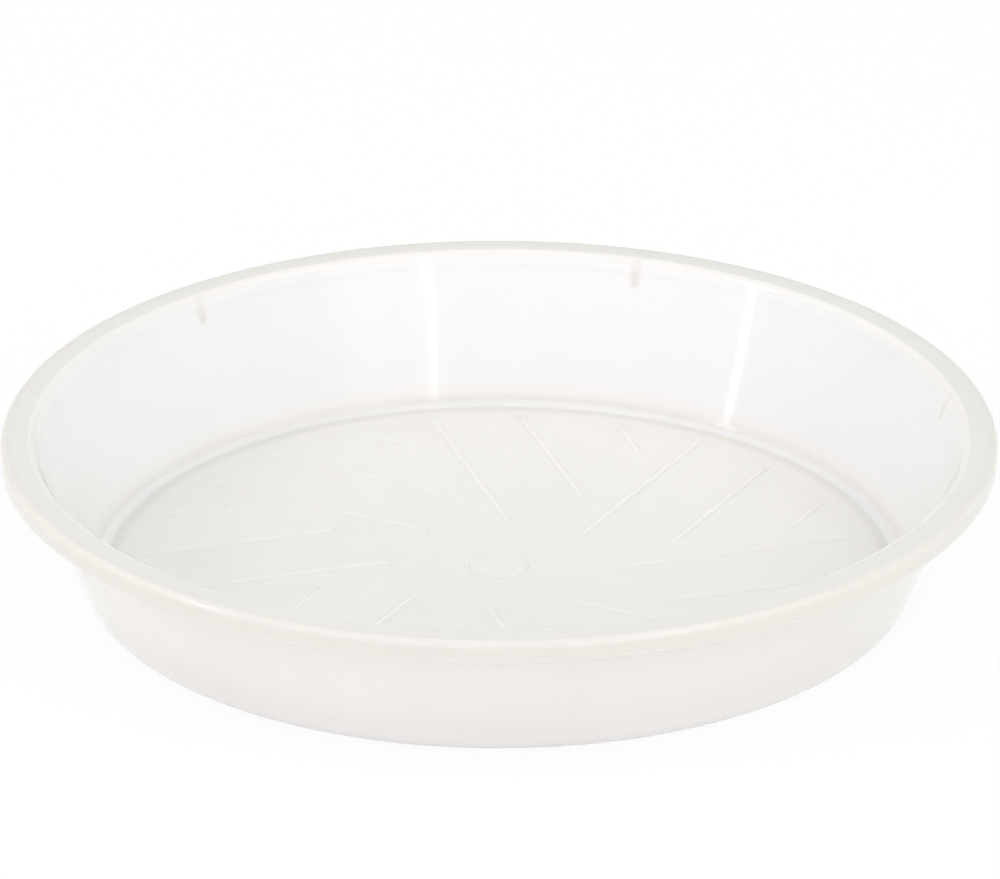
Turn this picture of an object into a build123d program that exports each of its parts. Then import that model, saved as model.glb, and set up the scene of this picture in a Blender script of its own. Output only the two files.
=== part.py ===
"""A plant saucer, moulded in one piece from milky plastic, as its separate moulded features.

Millimetres, +Z up. The origin is on the table, below the middle of the floor.
The front of the saucer faces -Y.
"""

import os
from math import cos, radians, sin, sqrt, tan

from build123d import *

# Driving dimensions: the bowl
rim_diameter = 200.0
height = 31.0
wall_lean = 22.0
wall_thickness = 2.0
floor_thickness = 1.5
foot_round = 2.0
floor_round = 2.0
floor_land = 0.6

# Driving dimensions: the rim turned outwards, with its skirt
rim_overhang = 5.2
rim_thickness = 2.0
skirt_thickness = 1.8
skirt_drop = 2.4
rim_outer_round = 1.6
rim_inner_round = 1.6
skirt_round = 0.6

# Driving dimensions: the lugs under the rim
lug_count = 6
lug_thickness = 1.8
lug_drop = 3.8
lug_bearing = 12.0

# Driving dimensions: the fans of ribs on the floor
fan_count = 8
fan_bearing = 17.0
rib_pitch = 18.0
rib_offset = 8.0
rib_width = 1.6
rib_height = 0.35
rib_round = 0.3
rib_start_radius = 21.0
rib_edge_gap = 5.5
rib_gap = 8.0
rib_shortest = 6.0

# Driving dimensions: the gate mark
gate_diameter = 12.0
gate_height = 0.25
gate_round = 0.2

# Radii and levels that follow from the driving dimensions
rim_radius = rim_diameter / 2
rim_underside = height - rim_thickness
base_radius = rim_radius - rim_overhang - rim_underside * tan(radians(wall_lean))
skirt_bottom = rim_underside - skirt_drop
skirt_inner_radius = rim_radius - skirt_thickness


def outer_wall_radius(level):
    """Radius of the wall's outer face at a height above the table."""
    return base_radius + level * tan(radians(wall_lean))


def inner_wall_radius(level):
    """Radius of the wall's inner face at a height above the table."""
    return outer_wall_radius(level) - wall_thickness / cos(radians(wall_lean))


# The floor plate ends a short flat land before the rounded corner inside begins.
floor_round_reach = floor_round * tan(radians((90 - wall_lean) / 2))
floor_radius = inner_wall_radius(floor_thickness) - floor_round_reach - floor_land


def turned(corners):
    """Revolve a closed outline of (radius, height, rounding) corners about the axis of the saucer."""
    points = [(radius, level) for radius, level, rounding in corners]
    roundings = [rounding for radius, level, rounding in corners]
    outline = FilletPolyline(*points, radius=roundings, close=True)
    section = Plane.XZ * make_face(outline)
    return revolve(section, Axis.Z)


def make_floor_plate():
    """Flat floor, out to the foot of the wall."""
    plate = Cylinder(floor_radius, floor_thickness)
    return Pos(0, 0, floor_thickness / 2) * plate


def make_side_wall():
    """Leaning wall with its foot, from the floor plate up to the underside of the rim."""
    return turned([
        (floor_radius, 0, 0),
        (base_radius, 0, foot_round),
        (outer_wall_radius(rim_underside), rim_underside, 0),
        (inner_wall_radius(rim_underside), rim_underside, 0),
        (inner_wall_radius(floor_thickness), floor_thickness, floor_round),
        (floor_radius, floor_thickness, 0),
    ])


def skirt_edge_round():
    """Rounding of the skirt's lower edge, which its thickness and its drop limit."""
    return min(skirt_round, skirt_thickness / 3, skirt_drop / 3)


def make_rim_flange():
    """Flat rim with its skirt turned down."""
    edge_round = skirt_edge_round()
    return turned([
        (inner_wall_radius(rim_underside), rim_underside, 0),
        (skirt_inner_radius, rim_underside, 0),
        (skirt_inner_radius, skirt_bottom, edge_round),
        (rim_radius, skirt_bottom, edge_round),
        (rim_radius, height, rim_outer_round),
        (inner_wall_radius(height), height, min(rim_inner_round, rim_thickness)),
    ])


def make_lug(side_wall, rim_flange):
    """One gusset in the corner between the wall and the skirt, on the +X side."""
    lug_bottom = rim_underside - lug_drop
    wall_bite = wall_thickness / 2
    skirt_bite = skirt_thickness / 2
    skirt_end = skirt_bottom + skirt_edge_round()
    outline = Polyline(
        (outer_wall_radius(rim_underside) - wall_bite, rim_underside),
        (skirt_inner_radius + skirt_bite, rim_underside),
        (skirt_inner_radius + skirt_bite, skirt_end),
        (skirt_inner_radius, skirt_end),
        (outer_wall_radius(lug_bottom), lug_bottom),
        (outer_wall_radius(lug_bottom) - wall_bite, lug_bottom),
        close=True,
    )
    gusset = extrude(Plane.XZ * make_face(outline), lug_thickness / 2, both=True)
    return gusset - side_wall - rim_flange


def make_rib_fan():
    """Parallel ribs along +X, on the -Y side of it, that fill one sector of the floor."""
    sector = radians(360 / fan_count)
    reach = floor_radius - rib_edge_gap
    top_round = min(rib_round, rib_height * 0.8, rib_width / 3)
    ribs = []
    offset = rib_offset
    while offset + rib_width < reach:
        # A rib starts clear of the middle and clear of the first rib of the next fan.
        clear_of_middle = sqrt(max(rib_start_radius**2 - offset**2, 0))
        clear_of_next_fan = (rib_gap - rib_offset + offset * cos(sector)) / sin(sector)
        start = max(clear_of_middle, clear_of_next_fan)
        end = sqrt(reach**2 - (offset + rib_width / 2) ** 2)
        if end - start >= rib_shortest:
            rib = Box(end - start, rib_width, rib_height)
            rib = fillet(rib.edges().group_by(Axis.Z)[-1], top_round)
            ribs.append(Pos((start + end) / 2, -offset, floor_thickness + rib_height / 2) * rib)
        offset += rib_pitch
    return Compound(ribs)


def make_gate_mark():
    """Low button in the middle of the floor."""
    button = Cylinder(gate_diameter / 2, gate_height)
    button = fillet(button.edges().group_by(Axis.Z)[-1], min(gate_round, gate_height * 0.8))
    return Pos(0, 0, floor_thickness + gate_height / 2) * button


nodes = {
    "floor_plate": make_floor_plate(),
    "side_wall": make_side_wall(),
    "rim_flange": make_rim_flange(),
    "gate_mark": make_gate_mark(),
}

lug = make_lug(nodes["side_wall"], nodes["rim_flange"])
for index in range(lug_count):
    nodes[f"stacking_lug_{index + 1}"] = Rot(0, 0, lug_bearing + index * 360 / lug_count) * lug

fan = make_rib_fan()
for index in range(fan_count):
    nodes[f"rib_fan_{index + 1}"] = Rot(0, 0, fan_bearing + index * 360 / fan_count) * fan

os.makedirs("parts", exist_ok=True)
for name, shape in nodes.items():
    export_step(shape, f"parts/{name}.step")
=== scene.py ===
from math import cos, pi, radians, sin, sqrt, tan

import bpy
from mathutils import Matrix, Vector


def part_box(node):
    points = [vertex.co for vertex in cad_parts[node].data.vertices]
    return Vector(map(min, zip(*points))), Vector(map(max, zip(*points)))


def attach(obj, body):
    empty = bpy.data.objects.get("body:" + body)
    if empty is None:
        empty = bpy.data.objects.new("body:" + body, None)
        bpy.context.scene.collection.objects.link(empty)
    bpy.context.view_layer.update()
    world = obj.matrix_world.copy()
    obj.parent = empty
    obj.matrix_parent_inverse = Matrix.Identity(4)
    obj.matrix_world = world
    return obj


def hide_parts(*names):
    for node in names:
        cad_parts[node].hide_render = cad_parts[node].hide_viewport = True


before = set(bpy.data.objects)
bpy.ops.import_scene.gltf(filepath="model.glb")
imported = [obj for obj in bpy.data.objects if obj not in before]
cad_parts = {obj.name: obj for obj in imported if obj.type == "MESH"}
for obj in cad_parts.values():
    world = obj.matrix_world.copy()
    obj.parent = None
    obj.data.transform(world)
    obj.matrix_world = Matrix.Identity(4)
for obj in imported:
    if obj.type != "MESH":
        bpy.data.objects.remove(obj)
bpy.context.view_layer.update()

# Bowl: the floor, the leaning wall and the rim turned outwards, moulded in one shot of milky polypropylene.
# Its section is drawn as a line from the floor over the rim to the foot, its corners are rounded as the
# mould rounds them, and the line is spun about the axis. The floor and the underside close it.
MM = 0.001
rim_low, rim_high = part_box("rim_flange")
wall_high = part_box("side_wall")[1]
floor_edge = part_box("floor_plate")[1]
floor_top = floor_edge.z
rim_radius = min(rim_high.x, rim_high.y)
rim_top = rim_high.z
skirt_bottom = rim_low.z
rim_underside = wall_high.z
wall_lean = radians(22.0)
wall_turn = pi / 2 - wall_lean
wall_thickness = 2.0 * MM
wall_width = wall_thickness / cos(wall_lean)
skirt_thickness = 1.8 * MM
skirt_inner_radius = rim_radius - skirt_thickness
corner_round = 2.0 * MM
rim_round = 1.6 * MM
skirt_round = 0.6 * MM
bowl_sides = 240
near = 0.01 * MM


def outer_wall_radius(level):
    """Radius of the wall's outer face at a height above the table."""
    return wall_high.x + (level - rim_underside) * tan(wall_lean)


def inner_wall_radius(level):
    """Radius of the wall's inner face at a height above the table."""
    return outer_wall_radius(level) - wall_width


def edit(piece):
    """Open one piece in edit mode with nothing selected."""
    bpy.ops.object.select_all(action="DESELECT")
    piece.select_set(True)
    bpy.context.view_layer.objects.active = piece
    bpy.ops.object.mode_set(mode="EDIT")
    bpy.ops.mesh.select_all(action="DESELECT")


def pick(piece, kind, wanted):
    """Select the vertices or edges of an open piece whose middle passes a test."""
    bpy.ops.mesh.select_all(action="DESELECT")
    bpy.ops.mesh.select_mode(type=kind)
    bpy.ops.object.mode_set(mode="OBJECT")
    mesh = piece.data
    if kind == "VERT":
        for vertex in mesh.vertices:
            vertex.select = wanted(vertex.co)
    else:
        for edge in mesh.edges:
            first, second = (mesh.vertices[index].co for index in edge.vertices)
            edge.select = wanted((first + second) / 2)
    bpy.ops.object.mode_set(mode="EDIT")


# Each point is its radius, its height, its rounding and the turn that the line makes there.
# Those without a rounding end the line at the floor, or keep the wall straight beside its rounded ends.
floor_flat_radius = 76.5 * MM
wall_flat_low = 3.4 * MM
wall_flat_high = 29.4 * MM
loop_below_lugs = 24.0 * MM
foot_flat_low = 2.0 * MM
bowl_section = [
    (floor_flat_radius, floor_top, 0, 0),
    (inner_wall_radius(floor_top), floor_top, corner_round, wall_turn),
    (inner_wall_radius(wall_flat_low), wall_flat_low, 0, 0),
    (inner_wall_radius(wall_flat_high), wall_flat_high, 0, 0),
    (inner_wall_radius(rim_top), rim_top, rim_round, wall_turn),
    (rim_radius, rim_top, rim_round, pi / 2),
    (rim_radius, skirt_bottom, skirt_round, pi / 2),
    (skirt_inner_radius, skirt_bottom, skirt_round, pi / 2),
    (skirt_inner_radius, rim_underside, skirt_round, pi / 2),
    (outer_wall_radius(rim_underside), rim_underside, skirt_round, wall_turn),
    (outer_wall_radius(loop_below_lugs), loop_below_lugs, 0, 0),
    (outer_wall_radius(foot_flat_low), foot_flat_low, 0, 0),
    (outer_wall_radius(0), 0, corner_round, wall_turn),
    (floor_flat_radius, 0, 0, 0),
]
bpy.ops.object.select_all(action="DESELECT")
bpy.ops.mesh.primitive_plane_add(size=MM)
saucer = bpy.context.object
saucer.name = "saucer"
bpy.ops.object.mode_set(mode="EDIT")
bpy.ops.mesh.merge(type="CENTER")
here = Vector((0, 0, 0))
for index, (radius, level, rounding, turn) in enumerate(bowl_section):
    step = Vector((radius, 0, level)) - here
    if index == 0:
        bpy.ops.transform.translate(value=step)
    else:
        bpy.ops.mesh.extrude_region_move(TRANSFORM_OT_translate={"value": step})
    here += step
for radius, level, rounding, turn in bowl_section:
    if rounding:
        corner = Vector((radius, 0, level))
        pick(saucer, "VERT", lambda place: (place - corner).length < near)
        reach = rounding * tan(turn / 2)
        bpy.ops.mesh.bevel(offset=reach, offset_type="OFFSET", segments=8, affect="VERTICES")
bpy.ops.mesh.select_all(action="SELECT")
bpy.ops.mesh.spin(steps=bowl_sides, angle=2 * pi, center=(0, 0, 0), axis=(0, 0, 1))
bpy.ops.mesh.select_all(action="SELECT")
bpy.ops.mesh.remove_doubles(threshold=0.001 * MM)
for level in (floor_top, 0):
    edge_ring = floor_flat_radius * cos(pi / bowl_sides)
    pick(saucer, "EDGE", lambda place: abs(place.z - level) < near
         and abs(place.to_2d().length - edge_ring) < 2 * near)
    bpy.ops.mesh.edge_face_add()
bpy.ops.mesh.select_all(action="SELECT")
bpy.ops.mesh.normals_make_consistent(inside=False)
bpy.ops.object.mode_set(mode="OBJECT")

# Stacking lugs: six small gussets under the rim, between the wall and the skirt, of the same shot.
# A block is sloped along its lower edge, let into the wall, the rim and the skirt, and welded there.
lug_count = 6
lug_bearing = radians(12.0)
lug_thickness = 1.8 * MM
lug_depth = 3.8 * MM
lug_bottom = rim_underside - lug_depth
lug_let_in = 0.9 * MM
lug_inner = outer_wall_radius(rim_underside) - lug_let_in
lug_outer = skirt_inner_radius + lug_let_in
lug_top = rim_underside + lug_let_in
skirt_end = skirt_bottom + skirt_round


def weld(tool):
    """Moulded in one shot: a tool shape becomes part of the saucer."""
    union = saucer.modifiers.new("weld", "BOOLEAN")
    union.operation = "UNION"
    union.solver = "EXACT"
    union.object = tool
    bpy.ops.object.select_all(action="DESELECT")
    saucer.select_set(True)
    bpy.context.view_layer.objects.active = saucer
    bpy.ops.object.modifier_apply(modifier=union.name)
    bpy.data.objects.remove(tool)


def copies_about_axis(tool, count, bearing):
    """Copies of a tool shape at equal turns about the axis, joined as one object."""
    copies = []
    for index in range(count):
        bpy.ops.object.select_all(action="DESELECT")
        tool.select_set(True)
        bpy.context.view_layer.objects.active = tool
        bpy.ops.object.duplicate(linked=False)
        turned = bpy.context.object
        turned.rotation_euler.z = bearing + index * 2 * pi / count
        bpy.ops.object.transform_apply(location=True, rotation=True, scale=True)
        copies.append(turned)
    bpy.data.objects.remove(tool)
    bpy.ops.object.select_all(action="DESELECT")
    for turned in copies:
        turned.select_set(True)
    bpy.context.view_layer.objects.active = copies[0]
    bpy.ops.object.join()
    return copies[0]


bpy.ops.object.select_all(action="DESELECT")
bpy.ops.mesh.primitive_cube_add(
    size=1,
    location=((lug_inner + lug_outer) / 2, 0, (lug_bottom + lug_top) / 2),
    scale=(lug_outer - lug_inner, lug_thickness, lug_top - lug_bottom),
)
lug = bpy.context.object
bpy.ops.object.transform_apply(location=True, rotation=True, scale=True)
edit(lug)
pick(lug, "EDGE", lambda place: place.z < lug_bottom + near and place.x > lug_outer - near)
bpy.ops.transform.translate(value=(0, 0, skirt_end - lug_bottom))
pick(lug, "EDGE", lambda place: place.z < lug_bottom + near and place.x < lug_inner + near)
bpy.ops.transform.translate(value=((lug_bottom - rim_underside) * tan(wall_lean), 0, 0))
bpy.ops.object.mode_set(mode="OBJECT")
weld(copies_about_axis(lug, lug_count, lug_bearing))

# Floor ribs: eight fans of low parallel beads that hold a pot clear of the water, of the same shot.
# Three bars of falling length are crowned and rounded along their tops, and the fan is copied about the axis.
fan_count = 8
fan_sector = 2 * pi / fan_count
fan_bearing = radians(17.0)
rib_count = 3
rib_pitch = 18.0 * MM
rib_width = 1.6 * MM
rib_height = 0.35 * MM
rib_root = 0.5 * MM
rib_crown = 0.2
rib_end_slope = 1.8 * MM
rib_round = 0.12 * MM
rib_reach = floor_edge.x - 5.5 * MM
first_rib_offset = 8.0 * MM
rib_gap = 8.0 * MM
rib_start_radius = 21.0 * MM
rib_top = floor_top + rib_height
rib_bars = []
for rib_index in range(rib_count):
    offset = first_rib_offset + rib_index * rib_pitch
    clear_of_middle = sqrt(max(rib_start_radius**2 - offset**2, 0))
    clear_of_next_fan = (rib_gap - first_rib_offset + offset * cos(fan_sector)) / sin(fan_sector)
    rib_start = max(clear_of_middle, clear_of_next_fan)
    rib_end = sqrt(rib_reach**2 - (offset + rib_width / 2) ** 2)
    rib_length = rib_end - rib_start
    bpy.ops.object.select_all(action="DESELECT")
    bpy.ops.mesh.primitive_cube_add(
        size=1,
        location=((rib_start + rib_end) / 2, -offset, floor_top - rib_root / 2),
        scale=(rib_length, rib_width, rib_root),
    )
    bar = bpy.context.object
    bpy.ops.object.transform_apply(location=True, rotation=True, scale=True)
    edit(bar)
    pick(bar, "VERT", lambda place: place.z > floor_top - near)
    bpy.ops.mesh.select_mode(type="FACE")
    bpy.ops.mesh.extrude_region_move(TRANSFORM_OT_translate={"value": (0, 0, rib_height)})
    bpy.ops.transform.resize(
        value=(1 - 2 * rib_end_slope / rib_length, rib_crown, 1),
        center_override=((rib_start + rib_end) / 2, -offset, rib_top),
    )
    pick(bar, "EDGE", lambda place: place.z > rib_top - near)
    bpy.ops.mesh.bevel(offset=rib_round, offset_type="OFFSET", segments=3, affect="EDGES")
    bpy.ops.object.mode_set(mode="OBJECT")
    rib_bars.append(bar)
bpy.ops.object.select_all(action="DESELECT")
for bar in rib_bars:
    bar.select_set(True)
bpy.context.view_layer.objects.active = rib_bars[0]
bpy.ops.object.join()
weld(copies_about_axis(rib_bars[0], fan_count, fan_bearing))

# Gate mark: the low round button that the moulding gate left in the middle of the floor.
# A short drum is rounded along its top edge and welded to the floor.
gate_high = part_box("gate_mark")[1]
gate_root = 0.5 * MM
gate_round = 0.2 * MM
bpy.ops.object.select_all(action="DESELECT")
bpy.ops.mesh.primitive_cylinder_add(
    vertices=48,
    radius=gate_high.x,
    depth=gate_high.z - floor_top + gate_root,
    location=(0, 0, (gate_high.z + floor_top - gate_root) / 2),
)
button = bpy.context.object
bpy.ops.object.transform_apply(location=True, rotation=True, scale=True)
edit(button)
pick(button, "EDGE", lambda place: place.z > gate_high.z - near)
bpy.ops.mesh.bevel(offset=gate_round, offset_type="OFFSET", segments=4, affect="EDGES")
bpy.ops.object.mode_set(mode="OBJECT")
weld(button)

# Milky polypropylene: pale, slightly warm and clouded, smooth from the mould, seen into but not through.
# It looks denser where it is thick, at the rim, and it flowed out from the gate. Its colour also holds
# painted shade at the corner, the outer wall, the rim edge, the skirt and the lugs, and painted light on the
# rib tops, the corner line, the skirt's edge and the foot.
bpy.ops.object.select_all(action="DESELECT")
saucer.select_set(True)
bpy.context.view_layer.objects.active = saucer
bpy.ops.object.shade_smooth_by_angle(angle=radians(20))
milky_light = (0.96, 0.95, 0.932, 1)
milky_dense = (0.8, 0.79, 0.75, 1)
plastic = bpy.data.materials.new("milky_plastic")
plastic.use_nodes = True
nodes, links = plastic.node_tree.nodes, plastic.node_tree.links
shader = nodes["Principled BSDF"]
shader.inputs["IOR"].default_value = 1.49
shader.inputs["Transmission Weight"].default_value = 0.1
shader.inputs["Subsurface Weight"].default_value = 1.0
shader.inputs["Subsurface Radius"].default_value = (1.0, 1.0, 1.0)
shader.inputs["Subsurface Scale"].default_value = 0.9 * MM


def reckon(operation, first, second=0.0):
    """Output of a Math node on two values, each a number or a socket."""
    sum_node = nodes.new("ShaderNodeMath")
    sum_node.operation = operation
    for socket, value in zip(sum_node.inputs, (first, second)):
        if isinstance(value, bpy.types.NodeSocket):
            links.new(value, socket)
        else:
            socket.default_value = value
    return sum_node.outputs["Value"]


def reckon_vector(operation, first, second=None):
    """Vector Math node on a socket and, where one is given, a second socket or three numbers."""
    vector_node = nodes.new("ShaderNodeVectorMath")
    vector_node.operation = operation
    links.new(first, vector_node.inputs[0])
    if isinstance(second, bpy.types.NodeSocket):
        links.new(second, vector_node.inputs[1])
    elif second:
        vector_node.inputs[1].default_value = second
    return vector_node


def ramp(value, start, end):
    """Smooth rise from 0 to 1 while a socket goes from start to end, up or down."""
    rise = nodes.new("ShaderNodeMapRange")
    rise.interpolation_type = "SMOOTHSTEP"
    rise.inputs["From Min"].default_value = start
    rise.inputs["From Max"].default_value = end
    links.new(value, rise.inputs["Value"])
    return rise.outputs["Result"]


def band(value, middle, half_width):
    """Soft band about a level: 1 at its middle, 0 half a width away."""
    away = reckon("ABSOLUTE", reckon("SUBTRACT", value, middle))
    return ramp(away, half_width, 0.0)


def clouds(coordinates, size, detail):
    """Noise with features of about a size, from -0.5 to 0.5."""
    noise = nodes.new("ShaderNodeTexNoise")
    noise.inputs["Scale"].default_value = 1 / size
    noise.inputs["Detail"].default_value = detail
    links.new(coordinates, noise.inputs["Vector"])
    return reckon("SUBTRACT", noise.outputs["Fac"], 0.5)


# Where a point is: its radius, its height, how far out it is across the leaning wall, and its nearest lug.
place = nodes.new("ShaderNodeTexCoord").outputs["Object"]
place_parts = nodes.new("ShaderNodeSeparateXYZ")
links.new(place, place_parts.inputs["Vector"])
level = place_parts.outputs["Z"]
flat_place = reckon_vector("MULTIPLY", place, (1, 1, 0)).outputs["Vector"]
radius = reckon_vector("LENGTH", flat_place).outputs["Value"]
across_wall = reckon("SUBTRACT", radius, reckon("MULTIPLY", level, tan(wall_lean)))
lug_turn = 2 * pi / lug_count
bearing = reckon("ARCTAN2", place_parts.outputs["Y"], place_parts.outputs["X"])
turns = reckon("DIVIDE", bearing, lug_turn)
from_lug = reckon("PINGPONG", reckon("SUBTRACT", turns, lug_bearing / lug_turn), 0.5)
lug_arc = reckon("MULTIPLY", reckon("MULTIPLY", from_lug, lug_turn), radius)

# Where the floor, the corner and the wall fade into each other: each pair is a start and an end,
# as radii, as heights or, for the wall's two halves, as radii across the wall.
floor_end = (80.5 * MM, 79.5 * MM)
floor_skin = (2.6 * MM, 2.2 * MM)
bead_tops = (floor_top + 0.26 * MM, floor_top + 0.34 * MM)
inner_half = (81.9 * MM, 81.3 * MM)
outer_half = (81.6 * MM, 82.2 * MM)
above_underside = (0.5 * MM, 1.2 * MM)
# These place painted shade at the inside corner and a painted highlight line along the fillet.
corner_shade_start = (76.8 * MM, 79.2 * MM)
corner_shade_height = (6.5 * MM, 2.5 * MM)
corner_band_start = (76.0 * MM, 78.0 * MM)
corner_band_height = (3.6 * MM, 2.4 * MM)
corner_line_radius = 80.2 * MM
corner_line_reach = 1.6 * MM
corner_line_height = (2.4 * MM, 1.9 * MM)
foot_height = (5.0 * MM, 0.5 * MM)
floor_zone = reckon("MULTIPLY", ramp(radius, *floor_end), ramp(level, *floor_skin))
# Painted highlight: the rib tops are lighter.
painted_rib_top_highlight = reckon("MULTIPLY", floor_zone, ramp(level, *bead_tops))
inside = reckon("MULTIPLY", ramp(across_wall, *inner_half), ramp(level, *above_underside))
# Painted shade: the inside corner is darker, with two darker bands, and a painted highlight line runs along
# the fillet between them.
corner_low = reckon("MULTIPLY", inside, ramp(level, *corner_shade_height))
painted_corner_shade = reckon("MULTIPLY", ramp(radius, *corner_shade_start), corner_low)
corner_near = reckon("MULTIPLY", inside, ramp(level, *corner_band_height))
painted_corner_shade_bands = reckon("MULTIPLY", ramp(radius, *corner_band_start), corner_near)
corner_bottom = reckon("MULTIPLY", inside, ramp(level, *corner_line_height))
painted_corner_highlight = reckon("MULTIPLY", band(radius, corner_line_radius, corner_line_reach), corner_bottom)
# Painted shade: the wall's outer face is darker than its inner face.
painted_shade_outer_face = ramp(across_wall, *outer_half)
# Painted light: the outer face is made lighter again towards its foot.
painted_foot_light = reckon("MULTIPLY", painted_shade_outer_face, ramp(level, *foot_height))

# The rim and its skirt, with painted shade on the rim's outer edge and the skirt, a painted highlight line
# and a painted shade line where the skirt's lower edge would show through the wall, and painted shadows where
# the lugs would show through.
rim_start = (94.6 * MM, 95.6 * MM)
rim_top_skin = (29.6 * MM, 30.6 * MM)
rim_edge_start = (97.4 * MM, 98.6 * MM)
skirt_height = (30.0 * MM, 29.2 * MM)
inner_face_end = (94.2 * MM, 93.9 * MM)
light_line_level, light_line_reach = 29.2 * MM, 0.45 * MM
dark_line_level, dark_line_reach = 28.0 * MM, 0.7 * MM
lug_mark_bottom = 26.4 * MM
lug_mark_width = (1.6 * MM, 0.4 * MM)
lug_mark_height = (33.0 * MM, 25.5 * MM)
lug_through_skirt = 0.35
rim_zone = reckon("MAXIMUM", ramp(radius, *rim_start), ramp(level, *rim_top_skin))
# Painted shade: the rim's outer edge and, below the rim's top, the skirt are darker.
painted_rim_edge_shade = ramp(radius, *rim_edge_start)
painted_skirt_shade = reckon("MULTIPLY", painted_rim_edge_shade, ramp(level, *skirt_height))
inner_face = ramp(radius, *inner_face_end)
# Painted highlight and painted shade: a light line at 29.2 mm and a dark line at 28 mm on the wall's inner
# face, where the skirt's lower edge would show through.
painted_skirt_edge_highlight = reckon("MULTIPLY", band(level, light_line_level, light_line_reach), inner_face)
painted_skirt_edge_shade = reckon("MULTIPLY", band(level, dark_line_level, dark_line_reach), inner_face)
# Painted shadow: a dark mark on the wall's inner face, and more faintly on the skirt, at each lug, darkest
# near its lower end and fading upwards.
lug_below = reckon("MAXIMUM", reckon("SUBTRACT", lug_mark_bottom, level), 0.0)
lug_away = reckon("SQRT", reckon("ADD", reckon("POWER", lug_arc, 2.0), reckon("POWER", lug_below, 2.0)))
lug_seen = reckon("ADD", inner_face, reckon("MULTIPLY", painted_skirt_shade, lug_through_skirt))
lug_fade = reckon("MULTIPLY", ramp(level, *lug_mark_height), lug_seen)
painted_lug_shadow = reckon("MULTIPLY", ramp(lug_away, *lug_mark_width), lug_fade)

# Faint clouds in the milk, flow lines from the gate, and the density with painted light and shade that all of
# these add up to.
cloud_size = 45.0 * MM
flow_change_with_radius = 8.0
flow_line_size = 0.1
thin_density = 0.05
milk_clouds = clouds(place, cloud_size, 2.0)
flow_place = nodes.new("ShaderNodeCombineXYZ")
links.new(reckon("MULTIPLY", radius, flow_change_with_radius), flow_place.inputs["Z"])
outwards = reckon_vector("NORMALIZE", flat_place).outputs["Vector"]
flow_way = reckon_vector("ADD", outwards, flow_place.outputs["Vector"]).outputs["Vector"]
flow_lines = clouds(flow_way, flow_line_size, 3.0)
milk_density_and_painted_light = thin_density
# The shares of the rib tops, the corner, the outer wall, the foot, the rim edge, the skirt, the skirt's edge
# lines and the lugs are painted light and shade.
for zone, share in (
    (floor_zone, 0.54), (painted_rib_top_highlight, -0.12), (painted_corner_shade, 0.34), (painted_corner_shade_bands, 0.27), (painted_corner_highlight, -1.1),
    (painted_shade_outer_face, 0.42), (painted_foot_light, -0.39), (rim_zone, 0.38), (painted_rim_edge_shade, 0.2), (painted_skirt_shade, 0.24),
    (painted_skirt_edge_highlight, -0.1), (painted_skirt_edge_shade, 0.1), (painted_lug_shadow, 0.8), (milk_clouds, 0.2), (flow_lines, 0.14),
):
    milk_density_and_painted_light = reckon("ADD", reckon("MULTIPLY", zone, share), milk_density_and_painted_light)
milk = nodes.new("ShaderNodeValToRGB")
milk.color_ramp.elements[0].color = milky_light
milk.color_ramp.elements[1].color = milky_dense
links.new(milk_density_and_painted_light, milk.inputs["Fac"])
links.new(milk.outputs["Color"], shader.inputs["Base Color"])

# The mould's polish: smooth on the walls, a little duller on the floor, and never quite even.
wall_roughness = 0.09
floor_extra_roughness = 0.11
polish_grain = 1.2 * MM
polish_spread = 0.05
wave_size = 24.0 * MM
wave_height = 0.06 * MM
polish = reckon("MULTIPLY", clouds(place, polish_grain, 1.0), polish_spread)
floor_dullness = reckon("MULTIPLY", floor_zone, floor_extra_roughness)
links.new(reckon("ADD", reckon("ADD", polish, floor_dullness), wall_roughness), shader.inputs["Roughness"])
waviness = nodes.new("ShaderNodeBump")
waviness.inputs["Strength"].default_value = 1.0
waviness.inputs["Distance"].default_value = wave_height
links.new(clouds(place, wave_size, 1.0), waviness.inputs["Height"])
links.new(waviness.outputs["Normal"], shader.inputs["Normal"])
saucer.data.materials.clear()
saucer.data.materials.append(plastic)

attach(saucer, "root")
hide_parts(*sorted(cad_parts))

# Studio: a white table top with white all round, lit by a lamp overhead, a broad lamp in front, soft lamps
# and panels at the sides, a small window at the left, and two slim strips that leave the streaks on the wall.
table_size = 8.0
table_drop = 0.2 * MM
white_of_table_to_camera = 0.9


def white_to_eye(owner, camera_share):
    """Factor that shows plain white to reflections and through the plastic, and in part to the camera."""
    tree = owner.node_tree
    path = tree.nodes.new("ShaderNodeLightPath")
    camera_part = tree.nodes.new("ShaderNodeMath")
    camera_part.operation = "MULTIPLY"
    camera_part.inputs[1].default_value = camera_share
    tree.links.new(path.outputs["Is Camera Ray"], camera_part.inputs[0])
    factor = camera_part.outputs["Value"]
    for ray in ("Is Glossy Ray", "Is Transmission Ray"):
        larger = tree.nodes.new("ShaderNodeMath")
        larger.operation = "MAXIMUM"
        tree.links.new(factor, larger.inputs[0])
        tree.links.new(path.outputs[ray], larger.inputs[1])
        factor = larger.outputs["Value"]
    return factor


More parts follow.
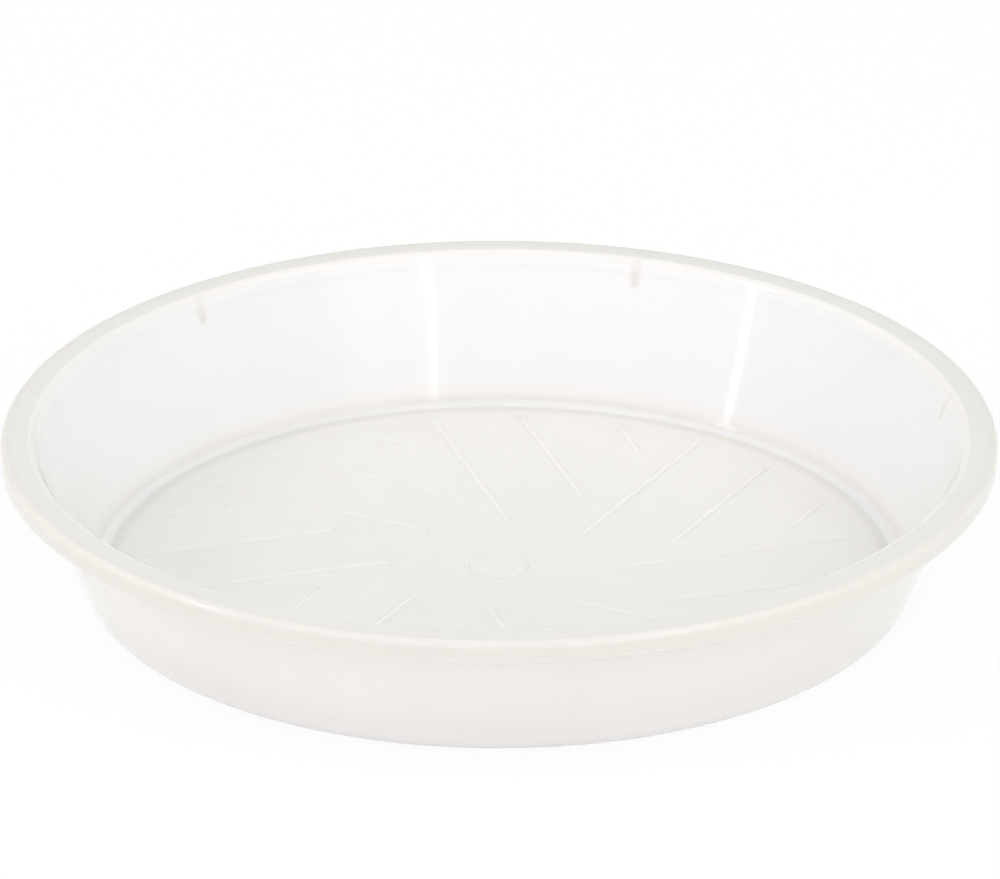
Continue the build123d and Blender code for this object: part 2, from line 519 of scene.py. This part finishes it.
bpy.ops.mesh.primitive_plane_add(size=table_size)
table = bpy.context.object
table.name = "table_top"
table.location.z = -table_drop
bpy.ops.object.transform_apply(location=True, rotation=True, scale=True)
paper = bpy.data.materials.new("white_table")
paper.use_nodes = True
paper_nodes, paper_links = paper.node_tree.nodes, paper.node_tree.links
paper_shader = paper_nodes["Principled BSDF"]
paper_shader.inputs["Base Color"].default_value = (0.95, 0.95, 0.95, 1)
paper_shader.inputs["Roughness"].default_value = 0.9
paper_glow = paper_nodes.new("ShaderNodeEmission")
paper_seen = paper_nodes.new("ShaderNodeMixShader")
paper_links.new(white_to_eye(paper, white_of_table_to_camera), paper_seen.inputs["Fac"])
paper_links.new(paper_shader.outputs["BSDF"], paper_seen.inputs[1])
paper_links.new(paper_glow.outputs["Emission"], paper_seen.inputs[2])
paper_links.new(paper_seen.outputs["Shader"], paper_nodes["Material Output"].inputs["Surface"])
table.data.materials.append(paper)

world = bpy.data.worlds.new("soft_studio")
bpy.context.scene.world = world
world.use_nodes = True
sky_nodes, sky_links = world.node_tree.nodes, world.node_tree.links
sky_fill = sky_nodes["Background"]
sky_fill.inputs["Color"].default_value = (0.99, 1.0, 0.97, 1)
sky_fill.inputs["Strength"].default_value = 0.672
sky_white = sky_nodes.new("ShaderNodeBackground")
sky_seen = sky_nodes.new("ShaderNodeMixShader")
sky_links.new(white_to_eye(world, 1.0), sky_seen.inputs["Fac"])
sky_links.new(sky_fill.outputs["Background"], sky_seen.inputs[1])
sky_links.new(sky_white.outputs["Background"], sky_seen.inputs[2])
sky_links.new(sky_seen.outputs["Shader"], sky_nodes["World Output"].inputs["Surface"])


def area_lamp(name, towards, distance, size, power, colour):
    """Area lamp that lights the bowl from a direction."""
    lamp = bpy.data.lights.new(name, "AREA")
    lamp.shape = "RECTANGLE"
    lamp.size, lamp.size_y = size
    lamp.energy = power
    lamp.color = colour
    holder = bpy.data.objects.new(name, lamp)
    bpy.context.scene.collection.objects.link(holder)
    holder.location = Vector(towards).normalized() * distance
    holder.rotation_euler = (-holder.location).to_track_quat("-Z", "Y").to_euler()


blue_white = (0.85, 0.87, 1.0)
cool_white = (0.96, 0.85, 1.0)
warm_white = (1.0, 0.92, 0.84)
plain_white = (1.0, 1.0, 1.0)
area_lamp("top_lamp", (0.0, -0.26, 0.97), 1.6, (1.9, 0.45), 4.5, blue_white)
area_lamp("front_lamp", (-0.209, -0.903, 0.375), 1.8, (4.75, 1.1), 9.8, cool_white)
area_lamp("left_lamp", (-0.72, 0.0, 0.69), 1.6, (1.4, 1.0), 2.1, warm_white)
area_lamp("left_panel", (-0.87, 0.153, 0.469), 1.6, (2.0, 1.2), 2.5, warm_white)
area_lamp("right_lamp", (0.65, -0.40, 0.64), 1.6, (1.2, 0.9), 3.8, plain_white)
area_lamp("right_panel", (0.747, -0.381, 0.545), 1.6, (2.9, 1.6), 4.3, warm_white)
area_lamp("left_window", (-0.814, -0.218, 0.537), 1.5, (0.22, 0.22), 1.3, plain_white)
area_lamp("right_strip", (0.302, -0.896, 0.33), 1.6, (0.03, 1.0), 0.42, plain_white)
area_lamp("left_strip", (-0.905, -0.358, 0.36), 1.4, (0.016, 1.0), 0.52, plain_white)

# Camera: about 20 rim radii away and 24 degrees up, with a long lens, as in the photograph.
camera_distance = 2.0
camera_elevation = radians(24.35)
focus = Vector((0, 0, 0.013))
aim = Vector((0.0002, 0, 0.0292))
lens_data = bpy.data.cameras.new("camera")
lens_data.sensor_width = 36.0
lens_data.lens = 357.6
camera = bpy.data.objects.new("camera", lens_data)
bpy.context.scene.collection.objects.link(camera)
camera.location = focus + camera_distance * Vector((0, -cos(camera_elevation), sin(camera_elevation)))
camera.rotation_euler = (aim - camera.location).to_track_quat("-Z", "Y").to_euler()
bpy.context.scene.camera = camera
bpy.context.scene.view_settings.view_transform = "Standard"
